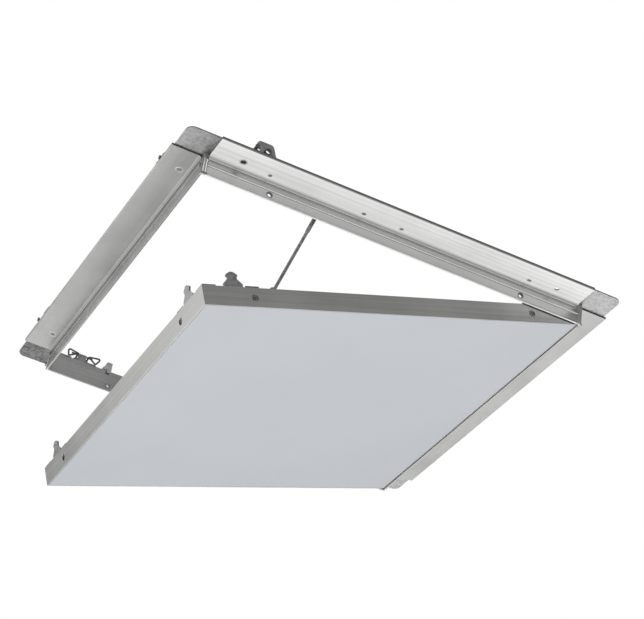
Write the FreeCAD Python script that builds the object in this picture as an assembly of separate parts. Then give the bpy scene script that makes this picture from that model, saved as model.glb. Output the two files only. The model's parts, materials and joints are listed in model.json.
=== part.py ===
import FreeCAD, Part
import math
import os
from FreeCAD import Placement, Rotation, Vector

# Ceiling access panel, in millimetres.
# The origin is the middle of the opening, on the plane where the flanges rest on the ceiling board.
# Near is -Y, far is +Y, the latch side is -X and the hinge side is +X. The room is below, at -Z.
# The flap is drawn shut and then turned about its hinge to hang on its stay.

# Opening and the flap's pose
openingWidth = 300.0
openAngle = 19.6
slackFit = 0.05
plateGap = 0.3
cutOver = 1.0

# Rail section: a flange on the ceiling board and a web that lines the opening
flangeWidth = 23.9
flangeThickness = 1.3
flangeChamfer = 0.6
beadWidth = 2.0
beadRise = 0.6
webDepth = 16.2
webThickness = 1.4
lowerBand = 6.9
bandGroove = 1.0
bandGrooveDepth = 0.4
upperBand = 3.1
upperBandRise = 0.5
webFillet = 2.4
fineGroove = 0.3
fineGroovePitch = 0.9
railEndGap = 2.5

# Screw holes in the rails
flangeHoleReach = 25.0
flangeHoleSetOut = 8.7
screwHoleRadius = 1.75
webHoleReach = 50.0
webHoleRise = 4.15

# Corner gusset and corner post
gussetThickness = 1.2
gussetSetIn = 2.1
gussetArm = 16.5
gussetEdge = 0.2
gussetRound = 6.0
postArm = 2.3
postGroove = 0.6

# Hollow latch rivet
eyeletRadius = 2.35
eyeletHeadRadius = 3.0
eyeletHeadThickness = 0.6

# Latch bracket, measured from the middle of its catch
bracketSheet = 1.2
bracketHalfWidth = 7.0
bracketFront = 0.3
bracketTail = 12.4
bracketTailDepth = 6.0
bracketDepth = 16.0
backPlateSetOut = 20.2
backFootDepth = 6.0
backPlateStart = 0.0
backPlateWidth = 20.0
backPlateTopWidth = 11.0
backPlateHeight = 12.5
backPlateRound = 2.8
smallHoleRadius = 1.0
smallHoleAlong = 5.4
largeHoleRadius = 1.9
largeHoleAlong = 11.8
backHoleRise = 5.0
tongueHalfWidth = 3.4
tongueFootHalfWidth = 5.2
tongueFootHeight = 2.3
curlSheet = 0.6

# Latch spring, one wire bent into a bow tie of two tilted triangles, and the pin in the tongue's curl
wireRadius = 0.7
wireSetOut = 14.2
wireBend = 1.1
wireCornerBend = 2.4
gripRise = 1.8
triangleLength = 9.3
triangleReach = 2.5
triangleFootLength = 6.9
triangleFootReach = 2.9
triangleFootDrop = 3.0
triangleTail = 0.3
pinHalfLength = 8.8
pinRise = 2.0
clampRadius = 1.6
clampLength = 3.2

# Flap rims, mitred angle section
flapGap = 0.9
hingeGap = 1.7
rimHeight = 14.6
rimThickness = 1.0
rimLedgeWidth = 16.0
rimLedgeThickness = 1.1

# Plaster board
boardThickness = 12.5
boardEdgeGap = 0.2

# Board clips and the edge screws below them
clipCatchGap = 1.7
clipWidth = 10.0
clipDepth = 8.0
clipSheet = 1.2
clipRise = 1.4
edgeScrewRise = 6.9
edgeHoleRadius = 2.6
edgeScrewHeadRadius = 2.35
edgeScrewHeadThickness = 1.2
edgeScrewSetIn = 1.0
edgeScrewRadius = 1.4
edgeScrewLength = 14.0

# Corner cleats that join the rims
cleatArm = 14.0
cleatWidth = 10.0
cleatThickness = 1.5
cleatEdgeRise = 0.9
cleatRivetReach = 9.0
cleatRivetSetIn = 5.0

# Arrow catch
catchThickness = 1.5
catchFootDepth = 13.0
lobeHalfWidth = 7.2
neckHalfWidth = 3.6
neckHeight = 1.6
neckGripRise = 0.6
headHalfWidth = 5.35
barbRise = 1.1
tipHalfWidth = 1.2
tipRise = 2.8
lobeRound = 1.2
gripGap = 0.3

# Solid rivets
rivetRadius = 1.5
rivetHeadRadius = 2.6
rivetHeadThickness = 0.9

# Flap stops on the near and far rails
stopReach = 46.5
stopWidth = 7.2
stopSheet = 1.2
stopEarHeight = 5.3
stopEarTopWidth = 4.4
stopFootDepth = 11.0
stopFace = 1.0
stopRivetSetOut = 6.0

# Hinges
hingeReach = 55.0
hingeSetIn = 3.4
hingeRise = 4.4
pinRadius = 1.1
knuckleSheet = 1.15
knuckleSheetRound = 1.035
knuckleLength = 12.0
earThickness = 1.0
earGap = 1.0
pinHeadRadius = 1.8
pinHeadThickness = 0.8
pinTail = 0.2
pocketFloor = 1.7
hingeFootDepth = 19.0
hingeRivetSetOut = 11.0
hingeRivetSpacing = 6.0

# Stay, its bracket on the flap and its guide on the near rail
stayRadius = 1.15
stayBracketGap = 8.6
stayFootRise = 17.0
stayTopLead = 35.5
stayTopRise = 21.3
staySetIn = 4.4
stayBend = 2.0
stayUpsetRadius = 1.8
stayUpsetThickness = 0.6
headTubeRadius = 1.5
headTubeLength = 27.5
headEyeRadius = 2.8
headEyeThickness = 2.4
headEyeNeck = 3.4
stayBracketWidth = 10.0
stayBracketRound = 2.6
stayBracketSetIn = 6.6
stayBracketDepth = 8.9
guideSheet = 1.2
guideTopMargin = 2.4
guideEndMargin = 13.0
guideTailMargin = 7.0
guideFootDepth = 10.0
guideRivetSetOut = 5.5
guideRivetSetIn = 4.0
guideRivetSpacing = 30.0
sliderPinRadius = 1.2
sliderShoeWidth = 7.0
sliderShoeHeight = 4.2
sliderShoeThickness = 1.8
sliderCollarRadius = 2.3
sliderCollarThickness = 0.7
slotEndPlay = 0.3

# Values worked out from the driving dimensions
halfOpening = openingWidth / 2
lipZ = -webDepth
flangeTop = flangeThickness
flapLeft = -halfOpening + flapGap
flapRight = halfOpening - hingeGap
flapSide = halfOpening - flapGap
ledgeBottom = lipZ + boardThickness
ledgeTop = ledgeBottom + rimLedgeThickness
hingeX = halfOpening - hingeSetIn
hingeZ = lipZ + hingeRise
knuckleRadius = pinRadius + slackFit + knuckleSheet
catchPlane = flapGap + rimThickness + catchThickness / 2
wireZ = flangeTop + bracketSheet + wireRadius + plateGap
gripZ = wireZ + gripRise
lobeHeight = gripZ - neckGripRise - (lobeHalfWidth - neckHalfWidth) - ledgeTop
curlRadius = wireRadius + slackFit + curlSheet
curlY = -bracketFront - curlRadius
stayY = -flapSide + staySetIn
catchReach = flangeHoleReach - flapGap
clipReach = catchReach + lobeHalfWidth + clipCatchGap + clipWidth / 2
stayFootX = flapLeft + clipReach + clipWidth / 2 + stayBracketGap + stayBracketWidth / 2
stayTopX = stayFootX + stayTopLead

# The frame's and the flap's corners, counter-clockwise from the near latch corner
frameCorners = [
    (-halfOpening, -halfOpening),
    (halfOpening, -halfOpening),
    (halfOpening, halfOpening),
    (-halfOpening, halfOpening),
]
flapCorners = [
    (flapLeft, -flapSide),
    (flapRight, -flapSide),
    (flapRight, flapSide),
    (flapLeft, flapSide),
]
sides = {"near": 0, "hinge": 1, "far": 2, "latch": 3}


def block(x0, y0, z0, x1, y1, z1):
    return Part.makeBox(x1 - x0, y1 - y0, z1 - z0, Vector(x0, y0, z0))


def rod(radius, start, end):
    start = Vector(start)
    direction = Vector(end) - start
    return Part.makeCylinder(radius, direction.Length, start, direction)


def prism(points, sweep):
    outline = Part.makePolygon([Vector(*p) for p in points + points[:1]])
    return Part.Face(outline).extrude(Vector(*sweep))


def joined(shapes):
    return shapes[0].multiFuse(shapes[1:]).removeSplitter()


def roundedCorners(shape, radius, places, axis):
    # rounds the straight edges that run along the axis through the given places
    chosen = []
    for edge in shape.Edges:
        ends = [v.Point for v in edge.Vertexes]
        if len(ends) != 2 or (ends[1] - ends[0]).cross(axis).Length > 1e-6:
            continue
        for place in places:
            apart = Vector(*place) - ends[0]
            if apart.cross(axis).Length < 1e-6:
                chosen.append(edge)
    return shape.makeFillet(radius, chosen)


def onSide(shape, side, corners):
    # a side's own frame: X along the side from its first corner, Y into the opening
    number = sides[side]
    start = Vector(*corners[number], 0)
    turn = Placement(start, Rotation(Vector(0, 0, 1), 90 * number))
    placed = shape.copy()
    placed.Placement = turn.multiply(placed.Placement)
    return placed


def sideLength(side, corners):
    number = sides[side]
    first = Vector(*corners[number], 0)
    second = Vector(*corners[(number + 1) % 4], 0)
    return (second - first).Length


def onFrame(shape, side):
    return onSide(shape, side, frameCorners)


def onFlap(shape, side):
    return onSide(shape, side, flapCorners)


def moved(shape, x, y=0.0, z=0.0):
    copy = shape.copy()
    copy.translate(Vector(x, y, z))
    return copy


def swapped(shape, length):
    # the same piece at the other end of a side, as its mirror image
    return shape.mirror(Vector(length / 2, 0, 0), Vector(1, 0, 0))


def bentWire(points, bends, radius):
    # round wire in straight runs and true bends, one bend radius for each inner point
    points = [Vector(*p) for p in points]
    pieces = []
    start = points[0]
    for before, corner, after, bend in zip(points, points[1:], points[2:], bends):
        back = (before - corner).normalize()
        ahead = (after - corner).normalize()
        half = back.getAngle(ahead) / 2
        turnStart = corner + back * (bend / math.tan(half))
        turnEnd = corner + ahead * (bend / math.tan(half))
        centre = corner + (back + ahead).normalize() * (bend / math.sin(half))
        pieces.append(rod(radius, start, turnStart))
        ring = Part.Face(Part.Wire(Part.makeCircle(radius, turnStart, back)))
        pieces.append(ring.revolve(centre, ahead.cross(back), 180 - 2 * math.degrees(half)))
        start = turnEnd
    pieces.append(rod(radius, start, points[-1]))
    return joined(pieces)


def rivet(x, y, bottom, top):
    # a solid rivet with its head on top, flush below
    shank = rod(rivetRadius, (x, y, bottom), (x, y, top))
    head = rod(rivetHeadRadius, (x, y, top), (x, y, top + rivetHeadThickness))
    return joined([shank, head])


def rivetHole(x, y, bottom, top):
    return rod(rivetRadius + slackFit, (x, y, bottom - cutOver), (x, y, top + cutOver))


# Rails

def railSection():
    # the section in the side's frame, where outward is -Y
    bandTop = lipZ + lowerBand + bandGroove + upperBand
    rise = webThickness + upperBandRise
    points = [
        (0, lipZ),
        (webThickness, lipZ),
        (webThickness, lipZ + lowerBand),
        (webThickness - bandGrooveDepth, lipZ + lowerBand),
        (webThickness - bandGrooveDepth, lipZ + lowerBand + bandGroove),
        (rise, lipZ + lowerBand + bandGroove),
        (rise, bandTop),
        (webThickness, bandTop),
    ]
    for number in (1, 2):
        z = bandTop + number * fineGroovePitch
        points += [
            (webThickness, z - fineGroove),
            (webThickness - fineGroove, z),
            (webThickness, z + fineGroove),
        ]
    points.append((webThickness, -webFillet))
    afterFillet = [
        (webThickness + webFillet, 0),
        (flangeWidth - flangeChamfer, 0),
        (flangeWidth, flangeChamfer),
        (flangeWidth, flangeTop + beadRise),
        (flangeWidth - beadWidth, flangeTop + beadRise),
        (flangeWidth - beadWidth, flangeTop),
        (0, flangeTop),
        (0, lipZ),
    ]
    lower = [Vector(0, -u, z) for u, z in points]
    upper = [Vector(0, -u, z) for u, z in afterFillet]
    inner = webFillet * (1 - math.cos(math.pi / 4))
    apex = Vector(0, -webThickness - inner, -inner)
    runs = list(zip(lower, lower[1:])) + list(zip(upper, upper[1:]))
    edges = [Part.LineSegment(a, b).toShape() for a, b in runs]
    edges.append(Part.Arc(lower[-1], apex, upper[0]).toShape())
    return Part.Face(Part.Wire(Part.__sortEdges__(edges)))


def rail(side):
    length = openingWidth
    section = railSection()
    section.translate(Vector(railEndGap, 0, 0))
    bar = section.extrude(Vector(length - 2 * railEndGap, 0, 0))
    cuts = []
    for end, along in enumerate((flangeHoleReach, length - flangeHoleReach)):
        radius = screwHoleRadius
        y = -flangeHoleSetOut
        if (side, end) in latchPlaces.values():
            radius = eyeletRadius + slackFit
            cuts.append(countersink(along, y, slackFit))
        cuts.append(rod(radius, (along, y, -cutOver), (along, y, flangeTop + cutOver)))
    if side in ("near", "far"):
        z = lipZ + webHoleRise
        for along in (webHoleReach, length - webHoleReach):
            cuts.append(rod(screwHoleRadius, (along, cutOver, z), (along, -webThickness - cutOver, z)))
    for x, y in railRivets(side):
        cuts.append(rivetHole(x, y, 0, flangeTop))
    return onFrame(bar.cut(Part.makeCompound(cuts)), side)


def railRivets(side):
    # places of the solid rivets in a rail's flange, in the side's frame
    if side == "hinge":
        return [(x, -hingeRivetSetOut) for x in hingeRivetPlaces()]
    places = []
    if side in ("near", "far"):
        places = [(x, -stopRivetSetOut) for x in stopPlaces()]
    if side == "near":
        places += [(x, -guideRivetSetOut) for x in guideRivetPlaces()]
    return places


# Corner gussets and posts

def gusset():
    near = -gussetEdge
    outer = gussetSetIn - flangeWidth
    points = [(outer, outer), (gussetArm, outer), (gussetArm, near), (near, near), (near, gussetArm), (outer, gussetArm)]
    plate = prism([(x, y, flangeTop) for x, y in points], (0, 0, gussetThickness))
    corners = [(outer, outer, flangeTop)]
    plate = roundedCorners(plate, gussetRound, corners, Vector(0, 0, 1))
    tips = [(gussetArm, outer, flangeTop), (outer, gussetArm, flangeTop)]
    return roundedCorners(plate, gussetRound / 3, tips, Vector(0, 0, 1))


def cornerPost():
    outer = -webThickness
    points = [
        (0, 0),
        (postArm, 0),
        (postArm, outer),
        (outer + postGroove, outer),
        (outer + postGroove, outer + postGroove),
        (outer, outer + postGroove),
        (outer, postArm),
        (0, postArm),
    ]
    return prism([(x, y, lipZ) for x, y in points], (0, 0, webDepth + flangeTop))


# Latches, drawn at the near rail's latch end with the catch's middle at X 0

latchPlaces = {
    "near": ("near", 0),
    "far": ("far", 1),
    "side_far": ("latch", 0),
    "side_near": ("latch", 1),
}


def atLatch(shape, name):
    side, end = latchPlaces[name]
    placed = moved(shape, flangeHoleReach)
    if end:
        placed = swapped(placed, openingWidth)
    return onFrame(placed, side)


def latchBracket():
    top = flangeTop + bracketSheet
    rear = -backPlateSetOut
    backEnd = backPlateStart + backPlateWidth
    base = block(-bracketHalfWidth, -bracketDepth, flangeTop, bracketHalfWidth, -bracketFront, top)
    tail = block(0, -bracketTailDepth, flangeTop, bracketTail, -bracketFront, top)
    heel = block(-bracketHalfWidth, rear, flangeTop, backEnd, rear + backFootDepth, top)
    inset = (backPlateWidth - backPlateTopWidth) / 2
    ridge = flangeTop + backPlateHeight
    outline = [(backPlateStart, flangeTop), (backEnd, flangeTop), (backEnd - inset, ridge), (backPlateStart + inset, ridge)]
    plate = prism([(x, rear, z) for x, z in outline], (0, bracketSheet, 0))
    shoulders = [(x, rear, z) for x, z in outline[2:]]
    plate = roundedCorners(plate, backPlateRound, shoulders, Vector(0, 1, 0))
    back = -bracketFront - bracketSheet
    pinZ = gripZ + pinRise
    tongue = block(-tongueHalfWidth, back, flangeTop, tongueHalfWidth, -bracketFront, pinZ)
    step = block(-tongueFootHalfWidth, back, flangeTop, tongueFootHalfWidth, -bracketFront, flangeTop + tongueFootHeight)
    curl = rod(curlRadius, (-tongueHalfWidth, curlY, pinZ), (tongueHalfWidth, curlY, pinZ))
    clamp = rod(clampRadius, (-clampLength / 2, -wireSetOut, wireZ), (clampLength / 2, -wireSetOut, wireZ))
    pieces = [base, tail, heel, plate, tongue, step, curl, clamp]
    bracket = joined(pieces)
    holeZ = flangeTop + backHoleRise
    cuts = [
        rod(smallHoleRadius, (smallHoleAlong, rear, holeZ), (smallHoleAlong, rear + bracketSheet, holeZ)),
        rod(largeHoleRadius, (largeHoleAlong, rear, holeZ), (largeHoleAlong, rear + bracketSheet, holeZ)),
        rod(eyeletRadius + slackFit, (0, -flangeHoleSetOut, 0), (0, -flangeHoleSetOut, top + cutOver)),
        rod(wireRadius + slackFit, (-clampLength, -wireSetOut, wireZ), (clampLength, -wireSetOut, wireZ)),
        rod(wireRadius + slackFit, (-pinHalfLength, curlY, pinZ), (pinHalfLength, curlY, pinZ)),
    ]
    return bracket.cut(Part.makeCompound(cuts))


def countersink(x, y, slack):
    # the cone of the hollow rivet's lower head, flush with the flange
    return Part.makeCone(
        eyeletHeadRadius + slack,
        eyeletRadius + slack,
        eyeletHeadThickness,
        Vector(x, y, 0),
    )


def eyelet():
    y = -flangeHoleSetOut
    top = flangeTop + bracketSheet
    end = top + eyeletHeadThickness
    pieces = [
        rod(eyeletRadius, (0, y, 0), (0, y, top)),
        countersink(0, y, 0),
        rod(eyeletHeadRadius, (0, y, top), (0, y, end)),
    ]
    bore = rod(screwHoleRadius, (0, y, -cutOver), (0, y, end + cutOver))
    return joined(pieces).cut(bore)


def latchSpring():
    # across under the clamp, forward beside the tongue to the grip, then round a triangle on each side
    gripX = neckHalfWidth + gripGap + wireRadius
    gripY = catchPlane + catchThickness / 2
    foot = Vector(gripX + triangleFootLength, gripY - triangleFootReach, gripZ - triangleFootDrop)
    grip = Vector(gripX, gripY, gripZ)
    half = [
        (gripX, -wireSetOut, wireZ),
        tuple(grip),
        (gripX + triangleLength, gripY + triangleReach, gripZ),
        tuple(foot),
        tuple(grip + (foot - grip) * triangleTail),
    ]
    bends = [wireCornerBend, wireBend, wireBend, wireBend]
    mirrored = [(-x, y, z) for x, y, z in reversed(half)]
    return bentWire(mirrored + half, bends[::-1] + bends, wireRadius)


def latchPin():
    z = gripZ + pinRise
    return rod(wireRadius, (-pinHalfLength, curlY, z), (pinHalfLength, curlY, z))


# Flap stops

def stopPlaces():
    return (stopReach, openingWidth - stopReach)


def flapStop():
    # the strip turns up as an ear, and one half also down as the face that meets the rim
    top = flangeTop + stopSheet
    half = stopWidth / 2
    lip = stopFace + stopSheet
    foot = block(-half, -stopFootDepth, flangeTop, half, lip, top)
    earTop = top + stopEarHeight
    outline = [(-half, flangeTop), (half, flangeTop), (half, earTop), (half - stopEarTopWidth, earTop)]
    ear = prism([(x, stopFace, z) for x, z in outline], (0, stopSheet, 0))
    face = block(0, stopFace, lipZ + rimHeight + plateGap, half, lip, top)
    stop = joined([foot, ear, face])
    return stop.cut(rivetHole(0, -stopRivetSetOut, flangeTop, top))


def flapStops(side):
    left = moved(flapStop(), stopReach)
    return [onFrame(left, side), onFrame(swapped(left, openingWidth), side)]


def stopRivets(side):
    top = flangeTop + stopSheet
    return [onFrame(rivet(x, -stopRivetSetOut, 0, top), side) for x in stopPlaces()]


# Hinges, drawn in the hinge side's frame

def hingePlaces():
    return (hingeReach, openingWidth - hingeReach)


def hingeRivetPlaces():
    return [x + dx for x in hingePlaces() for dx in (-hingeRivetSpacing / 2, hingeRivetSpacing / 2)]


def hingeBracket(along):
    # a strap over the rail's edge that ends in a rolled knuckle round the pin
    start = along - knuckleLength / 2
    end = along + knuckleLength / 2
    y = hingeSetIn
    outer = y - knuckleRadius
    top = flangeTop + knuckleSheet
    strap = block(start, outer, hingeZ, end, outer + knuckleSheet, top)
    foot = block(start, -hingeFootDepth, flangeTop, end, outer + knuckleSheet, top)
    roll = rod(knuckleRadius, (start, y, hingeZ), (end, y, hingeZ))
    bracket = joined([strap, foot, roll])
    edge = [(start, outer + knuckleSheet, top)]
    bracket = roundedCorners(bracket, knuckleSheetRound, edge, Vector(1, 0, 0))
    bore = rod(pinRadius + slackFit, (start - cutOver, y, hingeZ), (end + cutOver, y, hingeZ))
    cuts = [bore]
    for dx in (-hingeRivetSpacing / 2, hingeRivetSpacing / 2):
        cuts.append(rivetHole(along + dx, -hingeRivetSetOut, flangeTop, top))
    return onFrame(bracket.cut(Part.makeCompound(cuts)), "hinge")


def hingeRivets():
    top = flangeTop + knuckleSheet
    return [onFrame(rivet(x, -hingeRivetSetOut, 0, top), "hinge") for x in hingeRivetPlaces()]


def earStart():
    return knuckleLength / 2 + earGap


def hingeEars(along):
    # lugs turned in from the rim beside its slot, which carry the pin
    wall = hingeX - flapRight + rimThickness
    ears = []
    for side in (-1, 1):
        first = along + side * earStart()
        second = first + side * earThickness
        lug = rod(knuckleRadius, (first, hingeSetIn, hingeZ), (second, hingeSetIn, hingeZ))
        inner = hingeGap + rimThickness
        low = hingeZ - knuckleRadius
        high = hingeZ + knuckleRadius
        web = block(min(first, second), inner, low, max(first, second), hingeSetIn, high)
        outer = block(min(first, second), 0, low - cutOver, max(first, second), inner, high + cutOver)
        ears.append(lug.fuse(web).cut(outer))
    return ears


def hingePin(along):
    reach = earStart() + earThickness
    y = hingeSetIn
    shank = rod(pinRadius, (along - reach - pinTail, y, hingeZ), (along + reach, y, hingeZ))
    head = rod(pinHeadRadius, (along + reach, y, hingeZ), (along + reach + pinHeadThickness, y, hingeZ))
    return onFrame(joined([shank, head]), "hinge")


def hingePockets():
    # room in the board for the knuckle, the lugs and the pin's head
    reach = earStart() + earThickness + pinHeadThickness + plateGap
    depth = hingeSetIn + knuckleRadius + plateGap
    return [
        onFrame(block(x - reach, 0, lipZ + pocketFloor, x + reach, depth, 0), "hinge")
        for x in hingePlaces()
    ]


def hingeSlots():
    # slots in the hinge rim that the straps pass through
    reach = earStart()
    depth = hingeGap + rimThickness
    return [
        onFrame(block(x - reach, 0, lipZ + pocketFloor, x + reach, depth, 0), "hinge")
        for x in hingePlaces()
    ]


# Flap

def rimBar(length):
    wall = block(0, 0, lipZ, length, rimThickness, lipZ + rimHeight)
    ledge = block(0, rimThickness, ledgeBottom, length, rimLedgeWidth, ledgeTop)
    bar = joined([wall, ledge])
    depth = rimLedgeWidth + cutOver
    plan = [(0, 0), (length, 0), (length - depth, depth), (depth, depth)]
    mitre = prism([(x, y, lipZ) for x, y in plan], (0, 0, rimHeight))
    return bar.common(mitre)


def clipPlaces(side):
    return (clipReach, sideLength(side, flapCorners) - clipReach)


def catchPlace(name):
    side, end = latchPlaces[name]
    if end:
        return side, sideLength(side, flapCorners) - catchReach
    return side, catchReach


def stayBracketPlace():
    return stayFootX - flapLeft


def ledgeRivets(side):
    # places of the rivets that end in this rim's ledge: two cleats, its catches and the stay bracket
    length = sideLength(side, flapCorners)
    places = [(x, cleatRivetSetIn + rimThickness) for x in (cleatRivetReach, length - cleatRivetReach)]
    for name in latchPlaces:
        catchSide, along = catchPlace(name)
        if catchSide == side:
            places.append((along, catchRivetSetIn()))
    if side == "near":
        places.append((stayBracketPlace(), stayRivetSetIn()))
    return places


def rim(side):
    length = sideLength(side, flapCorners)
    bar = rimBar(length)
    z = lipZ + edgeScrewRise
    cuts = [rod(edgeHoleRadius, (x, 0, z), (x, rimThickness, z)) for x in clipPlaces(side)]
    cuts += [rivetHole(x, y, ledgeBottom, ledgeTop) for x, y in ledgeRivets(side)]
    bar = onFlap(bar.cut(Part.makeCompound(cuts)), side)
    if side != "hinge":
        return bar
    bar = bar.cut(Part.makeCompound(hingeSlots()))
    ears = [onFrame(ear, "hinge") for x in hingePlaces() for ear in hingeEars(x)]
    bar = joined([bar] + ears)
    holes = []
    for x in hingePlaces():
        reach = earStart() + earThickness
        end = reach + pinHeadThickness
        hole = rod(pinRadius, (x - end, hingeSetIn, hingeZ), (x + reach, hingeSetIn, hingeZ))
        relief = rod(pinHeadRadius + slackFit, (x + reach, hingeSetIn, hingeZ), (x + end, hingeSetIn, hingeZ))
        holes += [onFrame(hole, "hinge"), onFrame(relief, "hinge")]
    return bar.cut(Part.makeCompound(holes))


def edgeScrew(x):
    z = lipZ + edgeScrewRise
    neck = edgeScrewSetIn + edgeScrewHeadThickness
    head = rod(edgeScrewHeadRadius, (x, edgeScrewSetIn, z), (x, neck, z))
    shank = rod(edgeScrewRadius, (x, neck, z), (x, neck + edgeScrewLength, z))
    return joined([head, shank])


def board():
    inset = rimThickness + boardEdgeGap
    low = lipZ
    slab = block(flapLeft + inset, inset - flapSide, low, flapRight - inset, flapSide - inset, low + boardThickness)
    cuts = hingePockets()
    for side in sides:
        for x in clipPlaces(side):
            z = lipZ + edgeScrewRise
            neck = edgeScrewSetIn + edgeScrewHeadThickness
            mouth = rod(edgeHoleRadius, (x, 0, z), (x, neck, z))
            hole = rod(edgeScrewRadius, (x, 0, z), (x, neck + edgeScrewLength, z))
            cuts.append(onFlap(mouth.fuse(hole), side))
    return slab.cut(Part.makeCompound(cuts))


def boardClip(x):
    # lies on the ledge against the wall, with its edge turned up past the rim
    start = x - clipWidth / 2
    end = x + clipWidth / 2
    inner = rimThickness
    base = block(start, inner, ledgeTop, end, inner + clipDepth, ledgeTop + clipSheet)
    edge = block(start, inner, ledgeTop, end, inner + clipSheet, ledgeTop + clipSheet + clipRise)
    clip = joined([base, edge])
    ends = [(x, inner + clipDepth, ledgeTop) for x in (start, end)]
    return roundedCorners(clip, clipSheet, ends, Vector(0, 0, 1))


def cleat():
    inner = rimThickness
    arm = inner + cleatArm
    width = inner + cleatWidth
    points = [(inner, inner), (arm, inner), (arm, width), (width, width), (width, arm), (inner, arm)]
    plate = prism([(x, y, ledgeTop) for x, y in points], (0, 0, cleatThickness))
    edgeTop = ledgeTop + cleatThickness + cleatEdgeRise
    along = block(inner, inner, ledgeTop, width, inner + clipSheet, edgeTop)
    across = block(inner, inner, ledgeTop, inner + clipSheet, width, edgeTop)
    plate = joined([plate, along, across])
    cuts = [
        rivetHole(cleatRivetReach, cleatRivetSetIn + inner, ledgeTop, ledgeTop + cleatThickness),
        rivetHole(cleatRivetSetIn + inner, cleatRivetReach, ledgeTop, ledgeTop + cleatThickness),
    ]
    return plate.cut(Part.makeCompound(cuts))


def cleatRivets(side):
    length = sideLength(side, flapCorners)
    y = cleatRivetSetIn + rimThickness
    top = ledgeTop + cleatThickness
    return [onFlap(rivet(x, y, ledgeBottom, top), side) for x in (cleatRivetReach, length - cleatRivetReach)]


def catchRivetSetIn():
    return rimThickness + catchThickness + (catchFootDepth - catchThickness) / 2


def arrowCatch():
    lobe = ledgeTop + lobeHeight
    neckLow = lobe + (lobeHalfWidth - neckHalfWidth)
    neckHigh = neckLow + neckHeight
    barb = neckHigh + barbRise
    tip = barb + tipRise
    half = [
        (lobeHalfWidth, ledgeTop),
        (lobeHalfWidth, lobe),
        (neckHalfWidth, neckLow),
        (neckHalfWidth, neckHigh),
        (headHalfWidth, barb),
        (tipHalfWidth, tip),
    ]
    outline = half + [(-x, z) for x, z in reversed(half)]
    inner = rimThickness
    plate = prism([(x, inner, z) for x, z in outline], (0, catchThickness, 0))
    rounded = [(x, inner, z) for x, z in outline if z in (lobe, barb)]
    plate = roundedCorners(plate, lobeRound, rounded, Vector(0, 1, 0))
    top = ledgeTop + catchThickness
    foot = block(-lobeHalfWidth, inner, ledgeTop, lobeHalfWidth, inner + catchFootDepth, top)
    toes = [(x, inner + catchFootDepth, ledgeTop) for x in (-lobeHalfWidth, lobeHalfWidth)]
    foot = roundedCorners(foot, lobeRound * 2, toes, Vector(0, 0, 1))
    return joined([plate, foot]).cut(rivetHole(0, catchRivetSetIn(), ledgeTop, top))


def atCatch(shape, name):
    side, along = catchPlace(name)
    return onFlap(moved(shape, along), side)


# Stay

def turnedOpen(x, z):
    # where a point of the shut flap lies when the flap hangs open
    angle = math.radians(openAngle)
    dx = x - hingeX
    dz = z - hingeZ
    return (
        hingeX + dx * math.cos(angle) - dz * math.sin(angle),
        hingeZ + dx * math.sin(angle) + dz * math.cos(angle),
    )


def stayEnds():
    foot = turnedOpen(stayFootX, lipZ + stayFootRise)
    return foot, (stayTopX, lipZ + stayTopRise)


def stayLength():
    foot, top = stayEnds()
    return math.dist(foot, top)


def shutTopX():
    # where the head stands when the flap is shut and the stay lies along the rail
    rise = stayTopRise - stayFootRise
    return stayFootX + math.sqrt(stayLength() ** 2 - rise ** 2)


def stayRivetSetIn():
    return stayBracketSetIn + guideSheet + (stayBracketDepth - guideSheet) / 2


def stayBracket():
    # a foot on the ledge and, inboard of the rod, the upright with the eye
    half = stayBracketWidth / 2
    inner = stayBracketSetIn
    top = ledgeTop + guideSheet
    foot = block(-half, inner, ledgeTop, half, inner + stayBracketDepth, top)
    z = lipZ + stayFootRise
    upright = block(-stayBracketRound, inner, ledgeTop, stayBracketRound, inner + guideSheet, z)
    crown = rod(stayBracketRound, (0, inner, z), (0, inner + guideSheet, z))
    eye = rod(stayRadius + slackFit, (0, 0, z), (0, inner + guideSheet + cutOver, z))
    cuts = [eye, rivetHole(0, stayRivetSetIn(), ledgeTop, top)]
    return joined([foot, upright, crown]).cut(Part.makeCompound(cuts))


def stayRod():
    # bent at its foot to turn in the bracket, straight up to the head
    (footX, footZ), (topX, topZ) = stayEnds()
    span = stayLength()
    reach = (span - headEyeNeck) / span
    topPoint = (footX + (topX - footX) * reach, stayY, footZ + (topZ - footZ) * reach)
    past = -flapSide + stayBracketSetIn + guideSheet + plateGap
    end = past + stayUpsetThickness
    bent = bentWire([(footX, end, footZ), (footX, stayY, footZ), topPoint], [stayBend], stayRadius)
    upset = rod(stayUpsetRadius, (footX, past, footZ), (footX, end, footZ))
    return joined([bent, upset])


def stayHead():
    (footX, footZ), (topX, topZ) = stayEnds()
    along = Vector(footX - topX, 0, footZ - topZ).normalize()
    pivot = Vector(topX, stayY, topZ)
    end = pivot + along * (headTubeLength + headEyeNeck)
    tube = Part.makeCylinder(headTubeRadius, headTubeLength + headEyeNeck, pivot, along)
    tubeEdge = [edge for edge in tube.Edges if edge.Closed and (edge.Curve.Center - end).Length < 1e-6]
    tube = tube.makeChamfer((headTubeRadius - stayRadius) * 0.6, tubeEdge)
    half = Vector(0, headEyeThickness / 2, 0)
    eye = Part.makeCylinder(headEyeRadius, headEyeThickness, pivot - half, Vector(0, 1, 0))
    head = joined([tube, eye])
    bore = Part.makeCylinder(stayRadius, headTubeLength + cutOver, pivot + along * headEyeNeck, along)
    hole = Part.makeCylinder(sliderPinRadius + slackFit, 4 * headEyeThickness, pivot - half * 4, Vector(0, 1, 0))
    return head.cut(Part.makeCompound([bore, hole]))


# Stay guide and slider, drawn in the near side's frame

def guideStart():
    return halfOpening + stayTopX - guideEndMargin


def guideEnd():
    return halfOpening + shutTopX() + guideTailMargin


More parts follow.
